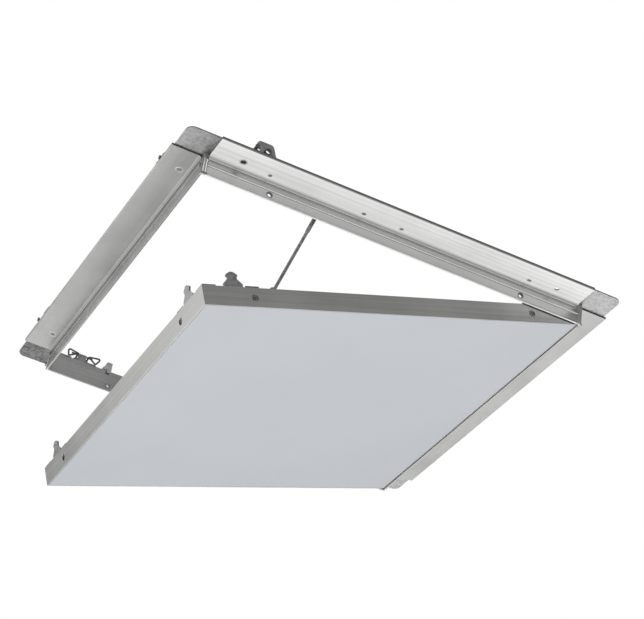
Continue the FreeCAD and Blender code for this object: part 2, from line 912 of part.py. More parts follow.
def guideRivetPlaces():
    last = guideEnd() - guideRivetSetIn
    return (last - guideRivetSpacing, last)


def stayGuide():
    start = guideStart()
    end = guideEnd()
    slotZ = lipZ + stayTopRise
    slotHalf = sliderPinRadius + slackFit
    crest = slotZ + slotHalf + guideTopMargin
    wall = block(start, 0, flangeTop, end, guideSheet, crest)
    tips = [(x, 0, crest) for x in (start, end)]
    wall = roundedCorners(wall, guideTopMargin, tips, Vector(0, 1, 0))
    footStart = guideRivetPlaces()[0] - guideRivetSetIn
    foot = block(footStart, -guideFootDepth, flangeTop, end, guideSheet, flangeTop + guideSheet)
    first = halfOpening + stayTopX
    last = halfOpening + shutTopX() + slotEndPlay
    slot = [block(first, 0, slotZ - slotHalf, last, guideSheet, slotZ + slotHalf)]
    slot += [rod(slotHalf, (x, 0, slotZ), (x, guideSheet, slotZ)) for x in (first, last)]
    cuts = slot + [rivetHole(x, -guideRivetSetOut, flangeTop, flangeTop + guideSheet) for x in guideRivetPlaces()]
    return onFrame(joined([wall, foot]).cut(joined(cuts)), "near")


def guideRivets():
    top = flangeTop + guideSheet
    return [onFrame(rivet(x, -guideRivetSetOut, 0, top), "near") for x in guideRivetPlaces()]


def staySlider():
    # a shoe behind the strip, a pin through the slot and a collar before it
    x = halfOpening + stayTopX
    z = lipZ + stayTopRise
    back = -plateGap
    half = sliderShoeWidth / 2
    low = z - sliderShoeHeight / 2
    shoe = block(x - half, back - sliderShoeThickness, low, x + half, back, low + sliderShoeHeight)
    pinEnd = halfOpening + stayY - headTubeRadius - plateGap
    pin = rod(sliderPinRadius, (x, back - sliderShoeThickness / 2, z), (x, pinEnd, z))
    collarStart = guideSheet + plateGap
    collar = rod(sliderCollarRadius, (x, collarStart, z), (x, collarStart + sliderCollarThickness, z))
    return onFrame(joined([shoe, pin, collar]), "near")


# Assembly

def openedFlap(shape):
    opened = shape.copy()
    opened.rotate(Vector(hingeX, 0, hingeZ), Vector(0, 1, 0), -openAngle)
    return opened


def frameNodes():
    nodes = {side + "_rail": [rail(side)] for side in sides}
    for number, name in enumerate(("near_latch", "near_hinge", "far_hinge", "far_latch")):
        turn = Placement(Vector(*frameCorners[number], 0), Rotation(Vector(0, 0, 1), 90 * number))
        for kind, piece in (("_gusset", gusset()), ("_post", cornerPost())):
            piece.Placement = turn
            nodes[name + kind] = [piece]
    for name in latchPlaces:
        nodes[name + "_latch_bracket"] = [atLatch(latchBracket(), name)]
        nodes[name + "_latch_spring"] = [atLatch(latchSpring(), name), atLatch(latchPin(), name)]
    nodes["latch_rivets"] = [atLatch(eyelet(), name) for name in latchPlaces]
    nodes["near_flap_stops"] = flapStops("near")
    nodes["far_flap_stops"] = flapStops("far")
    nodes["stop_rivets"] = stopRivets("near") + stopRivets("far")
    for name, along in zip(("near", "far"), hingePlaces()):
        nodes[name + "_hinge_bracket"] = [hingeBracket(along)]
    nodes["hinge_rivets"] = hingeRivets()
    nodes["stay_guide"] = [stayGuide()]
    nodes["guide_rivets"] = guideRivets()
    return nodes


def flapNodes():
    nodes = {side + "_rim": [rim(side)] for side in sides}
    nodes["plaster_board"] = [board()]
    for side in sides:
        nodes[side + "_board_clips"] = [onFlap(boardClip(x), side) for x in clipPlaces(side)]
    nodes["board_edge_screws"] = [onFlap(edgeScrew(x), side) for side in sides for x in clipPlaces(side)]
    nodes["rim_cleats"] = [onFlap(cleat(), side) for side in sides]
    nodes["cleat_rivets"] = [piece for side in sides for piece in cleatRivets(side)]
    for name in latchPlaces:
        nodes[name + "_catch"] = [atCatch(arrowCatch(), name)]
    top = ledgeTop + catchThickness
    catchRivet = rivet(0, catchRivetSetIn(), ledgeBottom, top)
    nodes["catch_rivets"] = [atCatch(catchRivet, name) for name in latchPlaces]
    for name, along in zip(("near", "far"), hingePlaces()):
        nodes[name + "_hinge_pin"] = [hingePin(along)]
    nodes["stay_bracket"] = [onFlap(moved(stayBracket(), stayBracketPlace()), "near")]
    bracketRivet = rivet(stayBracketPlace(), stayRivetSetIn(), ledgeBottom, ledgeTop + guideSheet)
    nodes["stay_bracket_rivet"] = [onFlap(bracketRivet, "near")]
    return {name: [openedFlap(piece) for piece in pieces] for name, pieces in nodes.items()}


def stayNodes():
    return {"stay_rod": [stayRod()], "stay_head": [stayHead()], "stay_slider": [staySlider()]}


def writeParts():
    os.makedirs("parts", exist_ok=True)
    nodes = {**frameNodes(), **flapNodes(), **stayNodes()}
    for name, pieces in nodes.items():
        shape = pieces[0] if len(pieces) == 1 else Part.makeCompound(pieces)
        shape.exportStep("parts/" + name + ".step")
        sound = all(piece.isValid() and len(piece.Solids) == 1 for piece in pieces)
        print(name, len(pieces), "pieces", "sound" if sound else "BROKEN", round(shape.Volume, 2))
    foot, top = stayEnds()
    print("hinge", hingeX, hingeZ, "stay foot", foot, "stay top", top)
    openTurn = math.degrees(math.atan2(top[1] - foot[1], top[0] - foot[0])) - openAngle
    shutTurn = math.degrees(math.asin((stayTopRise - stayFootRise) / stayLength()))
    print("stay turn per flap turn", (openTurn - shutTurn) / openAngle)
    print("slider travel", shutTopX() - stayTopX)


writeParts()
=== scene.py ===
import json
import math
import bpy
from mathutils import Matrix, Quaternion, Vector

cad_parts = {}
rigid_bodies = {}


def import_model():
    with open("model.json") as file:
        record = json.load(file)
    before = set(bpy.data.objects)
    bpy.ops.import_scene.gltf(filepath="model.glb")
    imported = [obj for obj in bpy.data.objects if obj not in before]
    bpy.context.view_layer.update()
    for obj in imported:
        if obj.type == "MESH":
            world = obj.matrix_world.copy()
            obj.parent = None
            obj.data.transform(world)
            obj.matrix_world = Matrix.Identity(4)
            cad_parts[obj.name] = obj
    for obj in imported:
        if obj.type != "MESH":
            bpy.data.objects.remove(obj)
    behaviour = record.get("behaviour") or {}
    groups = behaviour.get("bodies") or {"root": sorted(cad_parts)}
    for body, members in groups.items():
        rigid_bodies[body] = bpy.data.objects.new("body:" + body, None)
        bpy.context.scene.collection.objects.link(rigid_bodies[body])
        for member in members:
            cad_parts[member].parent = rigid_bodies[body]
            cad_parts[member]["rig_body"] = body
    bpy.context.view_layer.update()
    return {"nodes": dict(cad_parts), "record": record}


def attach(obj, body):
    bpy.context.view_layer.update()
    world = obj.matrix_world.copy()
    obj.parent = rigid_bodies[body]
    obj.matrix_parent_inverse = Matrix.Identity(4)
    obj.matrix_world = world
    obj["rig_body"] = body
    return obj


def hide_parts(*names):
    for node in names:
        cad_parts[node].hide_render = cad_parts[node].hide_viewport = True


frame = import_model()
print("frame loaded:", len(frame["nodes"]), "nodes")

mm = 0.001
nodeMetal = {row["node"]: row["material_slot"] for row in frame["record"]["subparts"]}

# the opening, the hinge line and the flap's own planes, in millimetres and degrees
panel = {
    "halfOpening": 150.0,
    "hingeX": 146.6,
    "hingeZ": -11.8,
    "openAngle": -19.6,
    "flapLeft": -149.1,
    "flapRight": 148.3,
    "flapSide": 149.1,
}
openTurn = math.radians(panel["openAngle"])
hingePoint = Vector((panel["hingeX"] * mm, 0, panel["hingeZ"] * mm))
openFlap = Matrix.Translation(hingePoint) @ Matrix.Rotation(openTurn, 4, "Y") @ Matrix.Translation(-hingePoint)


# Node trees

class Wire:
    # a socket that takes arithmetic
    def __init__(self, finish, socket):
        self.finish = finish
        self.socket = socket

    def maths(self, operation, *others):
        values = {number + 1: other for number, other in enumerate(others)}
        return self.finish.add("ShaderNodeMath", {"operation": operation}, {0: self, **values})

    def __add__(self, other):
        return self.maths("ADD", other)

    def __sub__(self, other):
        return self.maths("SUBTRACT", other)

    def __mul__(self, other):
        return self.maths("MULTIPLY", other)

    def __rsub__(self, other):
        return self.finish.add("ShaderNodeMath", {"operation": "SUBTRACT"}, {0: other, 1: self})

    def size(self):
        return self.maths("ABSOLUTE")

    def most(self, other):
        return self.maths("MAXIMUM", other)

    def swing(self, amount, middle=0.5):
        # goes up and down about nought
        return (self - middle) * amount

    def ramp(self, low=0.0, high=1.0, start=0.0, end=1.0):
        # runs smoothly from start to end between two values
        return self.finish.add(
            "ShaderNodeMapRange",
            {"interpolation_type": "SMOOTHSTEP"},
            {"Value": self, "From Min": low, "From Max": high, "To Min": start, "To Max": end},
        )

    def band(self, middle, half, edge):
        # 1 within half of the middle, 0 beyond the edge
        return (self - middle).size().ramp(half, half + edge, 1.0, 0.0)


class Finish:
    # a node tree, built node by node
    def __init__(self, name, world=False):
        if world:
            self.block = bpy.data.worlds.new(name)
            bpy.context.scene.world = self.block
        else:
            self.block = bpy.data.materials.new(name)
        self.block.use_nodes = True
        self.tree = self.block.node_tree
        self.shader = self.tree.nodes["Background" if world else "Principled BSDF"]

    def add(self, kind, settings=None, inputs=None, output=0):
        node = self.tree.nodes.new(kind)
        for name, value in (settings or {}).items():
            setattr(node, name, value)
        self.feed(node, inputs or {})
        return Wire(self, node.outputs[output])

    def feed(self, node, inputs):
        for name, value in inputs.items():
            if isinstance(value, Wire):
                self.tree.links.new(value.socket, node.inputs[name])
            else:
                node.inputs[name].default_value = value

    def shade(self, **inputs):
        self.feed(self.shader, {name.replace("_", " "): value for name, value in inputs.items()})
        return self.block

    def rays(self):
        # what the camera sees straight, what metal mirrors, and what is seen through
        path = self.tree.nodes.new("ShaderNodeLightPath")
        return [Wire(self, path.outputs["Is " + kind + " Ray"]) for kind in ("Camera", "Glossy", "Transmission")]

    def shut(self, vector, **more):
        # a vector of the open flap, turned back to the shut one
        turn = {"Vector": vector, "Rotation": (0, openTurn, 0), **more}
        return self.add("ShaderNodeMapping", {"vector_type": "TEXTURE"}, turn)

    def place(self, onFlap=False):
        # object coordinates, or for the flap those of the shut flap, measured from the hinge line
        spot = self.add("ShaderNodeTexCoord", output="Object")
        return self.shut(spot, Location=hingePoint) if onFlap else spot

    def facing(self, onFlap=False):
        # which way the surface faces, with no bump in it
        facing = self.add("ShaderNodeTexCoord", output="Normal")
        return self.shut(facing) if onFlap else facing

    def stretched(self, vector, scale):
        return self.add("ShaderNodeVectorMath", {"operation": "MULTIPLY"}, {0: vector, 1: scale})

    def parts(self, vector):
        node = self.tree.nodes.new("ShaderNodeSeparateXYZ")
        self.tree.links.new(vector.socket, node.inputs[0])
        return [Wire(self, output) for output in node.outputs]

    def noise(self, vector, scale, detail=3.0, rough=0.55):
        inputs = {"Vector": vector, "Scale": scale, "Detail": detail, "Roughness": rough}
        return self.add("ShaderNodeTexNoise", {}, inputs)

    def blend(self, share, first, second):
        first = first if isinstance(first, Wire) else (*first, 1)
        second = second if isinstance(second, Wire) else (*second, 1)
        return self.add("ShaderNodeMix", {"data_type": "RGBA"}, {0: share, 6: first, 7: second}, output=2)

    def bump(self, height, distance):
        return self.add("ShaderNodeBump", {}, {"Height": height, "Distance": distance, "Strength": 1.0})


# Light, world, floor and camera

light = {
    "world": 0.62,
    "mirrorLevel": 0.34,
    "lamps": {
        "lampBelow": {"place": (0.35, -0.90, -1.80), "aim": (0.0, 0.0, -0.05), "size": 1.6, "power": 18.5},
        "lampAbove": {"place": (0.40, -0.50, 3.60), "aim": (0.0, 0.0, 0.0), "size": 2.0, "power": 52.0},
    },
    "cards": {
        "sideCard": {"place": (-0.80, 0.50, 0.10), "aim": (-0.15, -0.10, -0.09), "size": 0.6, "power": 0.9},
        "lowCard": {"place": (0.30, 1.10, -2.20), "aim": (0.30, 1.10, 0.0), "size": 2.6, "power": 32.0},
        "highCard": {"place": (0.0, 0.50, 3.20), "aim": (0.0, 0.2, 0.0), "size": 3.2, "power": 24.0},
    },
}
floorLook = {
    "height": -2.45,
    "size": 14.0,
    "colour": (0.82, 0.82, 0.82),
    "mottle": 0.97,
    "inMetal": {"near": 0.6, "far": 1.0, "nearY": -0.3, "farY": 1.6},
    "inView": 0.85,
}
view = {
    "place": (-0.4858, -1.2317, -0.8781),
    "aim": (-0.0017, -0.0330, 0.0),
    "roll": 8.308,
    "lens": 117.38,
    "nearest": 0.01,
}


def makeWorld():
    # pale everywhere for the camera, and for the metal a dim soft room
    world = Finish("paleStudio", world=True)
    camera, glossy, through = world.rays()
    seen = camera.most(through)
    strength = glossy * light["mirrorLevel"] + (1 - glossy) * light["world"]
    world.shade(Color=(1, 1, 1, 1), Strength=seen + (1 - seen) * strength)


def towards(place, aim):
    return (Vector(aim) - Vector(place)).to_track_quat("-Z", "Y")


def makeLamp(name, lamp, mirrored=False):
    # a soft lamp, or a pale card that only the metal sees
    bpy.ops.object.light_add(type="AREA", location=lamp["place"])
    piece = bpy.context.object
    piece.name = name
    piece.data.shape = "SQUARE" if mirrored else "DISK"
    piece.data.size = lamp["size"]
    piece.data.energy = lamp["power"]
    piece.rotation_euler = towards(lamp["place"], lamp["aim"]).to_euler()
    piece.visible_camera = False
    piece.visible_glossy = mirrored
    piece.visible_diffuse = not mirrored


def makeFloor():
    # mottled paint that shadows fall on, paler where metal mirrors it and where the camera sees it
    bpy.ops.mesh.primitive_plane_add(size=floorLook["size"], location=(0, 0, floorLook["height"]))
    floor = bpy.context.object
    floor.name = "studioFloor"
    finish = Finish("floorPaint")
    mottle = tuple(c * floorLook["mottle"] for c in floorLook["colour"])
    pale = finish.blend(finish.noise(finish.place(), 3.0), floorLook["colour"], mottle)
    finish.shade(Base_Color=pale, Roughness=0.7)
    camera, glossy, through = finish.rays()
    mirrored = glossy.most(through)
    glow = floorLook["inMetal"]
    level = finish.parts(finish.place())[1].ramp(glow["nearY"], glow["farY"], glow["near"], glow["far"])
    level = mirrored * level + (1 - mirrored)
    lit = finish.add("ShaderNodeEmission", {}, {"Color": (1, 1, 1, 1), "Strength": level})
    paint = Wire(finish, finish.shader.outputs[0])
    share = mirrored + camera * floorLook["inView"]
    both = finish.add("ShaderNodeMixShader", {}, {0: share, 1: paint, 2: lit})
    finish.tree.links.new(both.socket, finish.tree.nodes["Material Output"].inputs["Surface"])
    floor.data.materials.append(finish.block)


def makeCamera():
    bpy.ops.object.camera_add(location=view["place"])
    camera = bpy.context.object
    camera.data.lens = view["lens"]
    camera.data.clip_start = view["nearest"]
    roll = Quaternion((0, 0, 1), math.radians(view["roll"]))
    camera.rotation_mode = "QUATERNION"
    camera.rotation_quaternion = towards(view["place"], view["aim"]) @ roll
    bpy.context.scene.camera = camera


makeWorld()
for lampName, lamp in light["lamps"].items():
    makeLamp(lampName, lamp)
for cardName, card in light["cards"].items():
    makeLamp(cardName, card, mirrored=True)
makeFloor()
makeCamera()
bpy.context.scene.view_settings.view_transform = "Standard"
print("light, floor and camera are in place")


# Metals and board

def lookingDown(facing, down, other):
    # one value on the faces that look down, another on the rest
    return facing[2].ramp(-0.9, -0.5, down, other)


def brushedMetal(name, look, along, onFlap):
    # drawn metal with fine lines along one axis, soft clouds and grain, and painted shade in the grooves and on
    # the cut ends
    finish = Finish(name)
    spot = finish.place(onFlap)
    axis = "XYZ".index(along)
    fine = [look["lines"]] * 3
    wide = [look["lines"] * look["streakWidth"]] * 3
    fine[axis] = look["lineStretch"]
    wide[axis] = look["streakStretch"]
    lines = finish.noise(finish.stretched(spot, fine), 1.0, 2.0)
    streaks = finish.noise(finish.stretched(spot, wide), 1.0, 4.0, 0.7)
    clouds = finish.noise(spot, look["clouds"], 4.0)
    grain = finish.noise(spot, look["grain"], 2.0, 0.8)
    tone = lines.swing(look["lineTone"]) + streaks.swing(look["streakTone"])
    tone = tone + clouds.swing(look["cloudTone"]) + grain.swing(look["grainTone"])
    colour = finish.blend((tone + 0.5).ramp(), look["dark"], look["pale"])
    sides = finish.parts(spot)
    facing = finish.parts(finish.facing(onFlap))
    # painted shade on the cut ends, the outermost edge, bands of the outward face, the underside, and inside in
    # patches
    soot = facing[axis].size().ramp(0.55, 0.9) * look["sawn"]
    outer = sides[0].size().most(sides[1].size()).ramp(look["outer"], look["outer"] + look["outerFade"])
    soot = soot.most(outer * look["outerSoot"])
    across = 1 - axis
    outward = (facing[across] * sides[across].maths("SIGN")).ramp(0.2, 0.5)
    for height, half, strength in look["soot"]:
        band = sides[2].band(height * mm, half * mm, look["sootFade"])
        soot = soot.most(band * outward * strength)
    # painted shade on the faces that look down
    soot = soot.most(lookingDown(facing, look["underSoot"], 0.0))
    # painted shade in patches on the inward faces
    inward = (1 - outward) * facing[across].size().ramp(0.5, 0.9)
    soot = soot.most(inward * clouds.ramp(0.3, 0.7, 0.5, 1.0) * look["innerSoot"])
    colour = finish.blend(soot, colour, look["sootColour"])
    flat = facing[2].size().ramp(0.4, 0.9, look["rough"], look["flatRough"])
    rough = streaks.swing(0.3) + clouds.swing(0.25) + flat
    normal = finish.bump(lines * 0.7 + streaks * 0.6 + grain * look["grainTone"] * 0.4, look["lineDepth"])
    metallic = lookingDown(facing, look["underMetal"], 1.0)
    return finish.shade(Base_Color=colour, Roughness=rough, Metallic=metallic, Normal=normal)


def mottledMetal(name, look, onFlap):
    # plated sheet with a soft crystal mottle and fine scuffs, and painted shade on the faces that look down
    finish = Finish(name)
    spot = finish.place(onFlap)
    patches = finish.noise(spot, look["cells"] * 0.8, 3.0)
    cells = finish.add(
        "ShaderNodeTexVoronoi",
        {"feature": "SMOOTH_F1"},
        {"Vector": spot, "Scale": look["cells"], "Smoothness": 0.4},
    )
    clouds = finish.noise(spot, look["clouds"], 5.0, 0.65)
    scuffs = finish.noise(finish.stretched(spot, look["scuffs"]), 1.0, 2.0)
    tone = cells.swing(look["cellTone"], 0.4) + clouds.swing(look["cloudTone"])
    tone = tone + patches.swing(0.5) + scuffs.swing(0.4)
    colour = finish.blend((tone + 0.5).ramp(), look["dark"], look["pale"])
    # painted shade on the faces that look down
    under = lookingDown(finish.parts(finish.facing(onFlap)), look["underSoot"], 0.0)
    colour = finish.blend(under, colour, look["sootColour"])
    rough = clouds.swing(0.3) + cells.swing(0.2, 0.4) + look["rough"]
    normal = finish.bump(clouds * 0.5 + scuffs * 0.2, look["depth"])
    return finish.shade(Base_Color=colour, Roughness=rough, Metallic=look["metallic"], Normal=normal)


def grey(level, warmth=0.0):
    return (level, level, level - warmth)


# a band of painted shade: its height and half its width in millimetres, and its strength
# the near and far rails' metal: near-white colour, with almost no metal on the faces that look down, a painted
# highlight on their flanges
railLook = {
    "dark": grey(0.76, 0.01),
    "pale": grey(1.0, 0.01),
    "rough": 0.3,
    "flatRough": 0.6,
    "underMetal": 0.05,
    "lines": 2600.0,
    "lineStretch": 14.0,
    "lineDepth": 0.00001,
    "streakWidth": 0.16,
    "streakStretch": 3.0,
    "clouds": 22.0,
    "grain": 1400.0,
    "lineTone": 0.5,
    "streakTone": 1.9,
    "cloudTone": 0.7,
    "grainTone": 0.2,
    "sootColour": grey(0.13),
    # painted shade in the web's grooves, and a wide band of it over the web's outward face
    "soot": [(-3.4, 0.3, 0.85), (-4.5, 0.25, 0.75), (-6.7, 1.5, 0.52), (-8.8, 0.45, 0.7), (-8.0, 9.0, 0.36)],
    "sootFade": 0.25 * mm,
    "sawn": 0.8,
    "outer": 173.0 * mm,
    "outerFade": 0.3 * mm,
    "outerSoot": 0.85,
    "underSoot": 0.0,
    "innerSoot": 0.5,
}
# the far rail: fainter streaks, and painted shade on its faces that look down
farRailLook = {**railLook, "streakTone": 1.0, "underSoot": 0.2}
# a darker, shaded copy of the same rail metal for the side rails: painted shade
shadedRailLook = {
    **railLook,
    "dark": grey(0.49, 0.01),
    "pale": grey(0.7, 0.01),
    "rough": 0.38,
    "flatRough": 0.42,
    "underMetal": 1.0,
    "lineTone": 0.25,
    "streakTone": 0.5,
    "cloudTone": 1.3,
    "grainTone": 1.0,
    # painted shade in a line near the bend and a line at the web's edge
    "soot": [(-2.6, 0.9, 0.6), (-16.2, 0.2, 0.6)],
    "outerSoot": 0.0,
    "underSoot": 0.42,
}
rimLook = {
    **railLook,
    "dark": grey(0.42, 0.015),
    "pale": grey(0.72, 0.02),
    "rough": 0.36,
    "flatRough": 0.36,
    "underMetal": 1.0,
    "streakTone": 0.7,
    "cloudTone": 0.6,
    # a thin band of painted shade on the rims' outward faces
    "soot": [(-15.9, 0.3, 0.3)],
    "outer": 1.0,  # far past the rims, so their edges get no painted shade
    "innerSoot": 0.0,
}
gussetLook = {
    "dark": grey(0.25),
    "pale": grey(0.5),
    "rough": 0.45,
    "metallic": 1.0,
    "cells": 420.0,
    "clouds": 120.0,
    "scuffs": (2400, 300, 900),
    "cellTone": 0.6,
    "cloudTone": 1.0,
    "depth": 0.00008,
    "sootColour": grey(0.02),
    "underSoot": 0.0,
}
# a darker, shaded copy of the gusset metal for the far latch gusset, with more painted shade on its faces that
# look down
shadedGussetLook = {
    **gussetLook,
    "dark": grey(0.14),
    "pale": grey(0.52),
    "cellTone": 1.1,
    "cloudTone": 1.5,
    "underSoot": 0.6,
}
latchLook = {**gussetLook, "dark": grey(0.28), "pale": grey(0.56), "rough": 0.4}
stopLook = {**gussetLook, "dark": grey(0.5), "pale": grey(0.85, 0.01)}
# the clips are painted dark as painted shade; the same dark metal is the painted shade in the bright rails' eyelet
# bores, and the small dark trim takes it too
shadedClipLook = {**gussetLook, "dark": grey(0.12), "pale": grey(0.3)}
wireLook = {**gussetLook, "dark": grey(0.06), "pale": grey(0.2), "rough": 0.35, "cells": 900.0}
rivetLook = {**gussetLook, "dark": grey(0.6), "pale": grey(0.95, 0.01), "rough": 0.25}
# the edge screws are nearly black: painted shade standing in for the shade in their holes
shadedScrewLook = {**gussetLook, "dark": grey(0.02), "pale": grey(0.09), "rough": 0.5, "cells": 1500.0}
eyeletLook = {**gussetLook, "dark": grey(0.5), "pale": grey(0.7), "rough": 0.42, "metallic": 0.4}
stayLook = {**gussetLook, "dark": grey(0.2), "pale": grey(0.44), "rough": 0.3}
postLook = {**gussetLook, "dark": grey(0.36, 0.005), "pale": grey(0.6, 0.01), "rough": 0.4, "metallic": 0.8}
beadLook = {**gussetLook, "dark": grey(0.88, 0.01), "pale": grey(1.0, 0.01), "rough": 0.2, "metallic": 0.5}
boardLook = {
    "dark": (0.54, 0.56, 0.592),
    "pale": (0.6, 0.62, 0.655),
    "rough": 0.9,
    "fibre": (2600, 2200, 2600),
    "clouds": 9.0,
    "depth": 0.00003,
}
wear = {"brighter": 1.25, "smoother": 0.75, "flatSmoother": 0.8}


def polished(look):
    # the same metal where its edge is rubbed bright
    return {
        **look,
        "dark": look["pale"],
        "pale": tuple(min(1.0, c * wear["brighter"]) for c in look["pale"]),
        "rough": look["rough"] * wear["smoother"],
        "flatRough": look.get("flatRough", 0.0) * wear["flatSmoother"],
    }


def boardPaper():
    # matt paper with short fibres and faint clouds
    finish = Finish("boardPaper")
    spot = finish.place(onFlap=True)
    fibre = finish.noise(finish.stretched(spot, boardLook["fibre"]), 1.0, 3.0)
    clouds = finish.noise(spot, boardLook["clouds"], 4.0)
    tone = fibre.swing(0.6) + clouds.swing(0.7) + 0.5
    colour = finish.blend(tone.ramp(), boardLook["dark"], boardLook["pale"])
    normal = finish.bump(fibre, boardLook["depth"])
    return finish.shade(Base_Color=colour, Roughness=boardLook["rough"], Metallic=0.0, Normal=normal)


# each metal's look, the axis it is drawn along, and whether it moves with the flap
drawnMetals = {
    "railNear": (railLook, "X", False),
    "railFar": (farRailLook, "X", False),
    "railSide": (shadedRailLook, "Y", False),
    "rimNear": (rimLook, "X", True),
    "rimSide": (rimLook, "Y", True),
}
platedMetals = {
    "gusset": (gussetLook, False),
    "darkGusset": (shadedGussetLook, False),
    "post": (postLook, False),
    "cleat": (gussetLook, True),
    "latch": (latchLook, False),
    "catch": (latchLook, True),
    "stay": (stayLook, False),
    "clip": (shadedClipLook, True),
    "stop": (stopLook, False),
    "wire": (wireLook, False),
}
turnedMetals = {
    "eyelet": (eyeletLook, False),
    "darkEyelet": (shadedClipLook, False),
    "bead": (beadLook, False),
    "rivet": (rivetLook, False),
    "flapRivet": (rivetLook, True),
    "edgeScrew": (shadedScrewLook, True),
}

# what is bent or cut also has a brighter metal for its worn edges
metals = {"board": boardPaper(), "boardEdge": boardPaper()}
for name, (look, along, moves) in drawnMetals.items():
    metals[name] = brushedMetal(name, look, along, moves)
    metals[name + "Edge"] = brushedMetal(name + "Edge", polished(look), along, moves)
for name, (look, moves) in platedMetals.items():
    metals[name] = mottledMetal(name, look, moves)
    metals[name + "Edge"] = mottledMetal(name + "Edge", polished(look), moves)
for name, (look, moves) in turnedMetals.items():
    metals[name] = mottledMetal(name, look, moves)


def metalFor(node):
    body = frame["nodes"][node]["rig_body"]
    slot = nodeMetal[node]
    across = node.startswith(("near", "far"))
    if node.endswith("_post"):
        return "post"
    if node.endswith("_clips"):
        return "clip"
    if node.endswith("_stops"):
        return "stop"
    # the far latch gusset takes the darker, shaded copy of the gusset metal: painted shade
    if node == "far_latch_gusset":
        return "darkGusset"
    if node == "far_rail":
        return "railFar"
    if slot == "rail_metal":
        return "railNear" if across else "railSide"
    if slot == "rim_metal":
        return "rimNear" if across else "rimSide"
    if slot == "board_face":
        return "board"
    if slot == "stay_steel":
        return "stay"
    if slot == "spring_wire":
        return "wire"
    if slot in ("gusset_steel", "rivet_metal"):
        return "cleat" if body == "flap" else "gusset"
    return "catch" if body == "flap" else "latch"


def dress(piece, *names):
    piece.data.materials.clear()
    for name in names:
        piece.data.materials.append(metals[name])


for nodeName, node in frame["nodes"].items():
    dress(node, metalFor(nodeName))


# Sheet, wire and board: each node's own form, its edges broken

softEdge = {
    "mergeWithin": 0.002 * mm,
    "flatWithin": 1.0,
    "sharpFrom": 34.0,
    "smoothTo": 32.0,
    "segments": 2,
    "width": {
        "rail_metal": 0.14 * mm,
        "rim_metal": 0.16 * mm,
        "gusset_steel": 0.12 * mm,
        "latch_steel": 0.12 * mm,
        "hinge_steel": 0.12 * mm,
        "stay_steel": 0.10 * mm,
        "spring_wire": 0.0,
        "board_face": 0.3 * mm,
    },
}


def pick(piece):
    bpy.ops.object.select_all(action="DESELECT")
    piece.select_set(True)
    bpy.context.view_layer.objects.active = piece


def fit(piece, node, replaced=True):
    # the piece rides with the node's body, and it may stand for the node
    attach(piece, frame["nodes"][node]["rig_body"])
    if replaced:
        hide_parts(node)


def castOf(node, name):
    # a copy of the node's own form, its doubles merged and its flat faces made whole
    pick(frame["nodes"][node])
    bpy.ops.object.duplicate()
    piece = bpy.context.object
    piece.name = piece.data.name = name
    piece.parent = None
    for key in list(piece.keys()):
        del piece[key]
    bpy.ops.object.mode_set(mode="EDIT")
    bpy.ops.mesh.select_all(action="SELECT")
    bpy.ops.mesh.remove_doubles(threshold=softEdge["mergeWithin"])
    bpy.ops.mesh.dissolve_limited(angle_limit=math.radians(softEdge["flatWithin"]))
    bpy.ops.object.mode_set(mode="OBJECT")
    bpy.ops.mesh.customdata_custom_splitnormals_clear()
    return piece


def wornEdges(piece, width):
    # breaks the sharp edges, and gives the break the second, brighter metal
    pick(piece)
    bevel = piece.modifiers.new("brokenEdge", "BEVEL")
    bevel.width = width
    bevel.segments = softEdge["segments"]
    bevel.limit_method = "ANGLE"
    bevel.angle_limit = math.radians(softEdge["sharpFrom"])
    bevel.use_clamp_overlap = False
    bevel.material = 1
    bpy.ops.object.modifier_apply(modifier=bevel.name)


def smooth(piece, angle):
    pick(piece)
    bpy.ops.object.shade_smooth_by_angle(angle=math.radians(angle))
    even = piece.modifiers.new("evenFaces", "WEIGHTED_NORMAL")
    even.weight = 100
    even.keep_sharp = True
    bpy.ops.object.modifier_apply(modifier=even.name)


def camelName(node):
    first, *rest = node.split("_")
    return first + "".join(word.capitalize() for word in rest)


def soften(node, width):
    piece = castOf(node, camelName(node))
    metal = metalFor(node)
    dress(piece, metal, metal + "Edge")
    if width:
        wornEdges(piece, width)
    smooth(piece, softEdge["smoothTo"])
    fit(piece, node)


for nodeName in list(frame["nodes"]):
    if nodeMetal[nodeName] in softEdge["width"]:
        soften(nodeName, softEdge["width"][nodeMetal[nodeName]])
print("softened pieces are made")


# Small pieces: eyelets, rivets, screws, beads, burrs and pins, each made once and copied to its places

sideNumber = {"near": 0, "hinge": 1, "far": 2, "latch": 3}
upright = Matrix.Rotation(math.radians(-90), 4, "X")  # turns a piece's own axis into the opening


def cornersOf(left, right, side):
    return [(left, -side), (right, -side), (right, side), (left, side)]


frameCorner = cornersOf(-panel["halfOpening"], panel["halfOpening"], panel["halfOpening"])
flapCorner = cornersOf(panel["flapLeft"], panel["flapRight"], panel["flapSide"])


def atSide(corner, side, along, out, height):
    # a place in a side's own frame: along the side, into the opening, and up, in millimetres
    x, y = corner[sideNumber[side]]
    turn = Matrix.Rotation(math.radians(90 * sideNumber[side]), 4, "Z")
    return Matrix.Translation((x * mm, y * mm, 0)) @ turn @ Matrix.Translation((along * mm, out * mm, height * mm))


def onFrame(side, along, out, height):
    return atSide(frameCorner, side, along, out, height)


def onFlap(side, along, out, height):
    return openFlap @ atSide(flapCorner, side, along, out, height)


def flapSideLength(side):
    return panel["flapRight"] - panel["flapLeft"] if side in ("near", "far") else 2 * panel["flapSide"]


def bothEnds(reach):
    # two places on each side of the flap, as far from either end
    return [(side, along) for side in sideNumber for along in (reach, flapSideLength(side) - reach)]


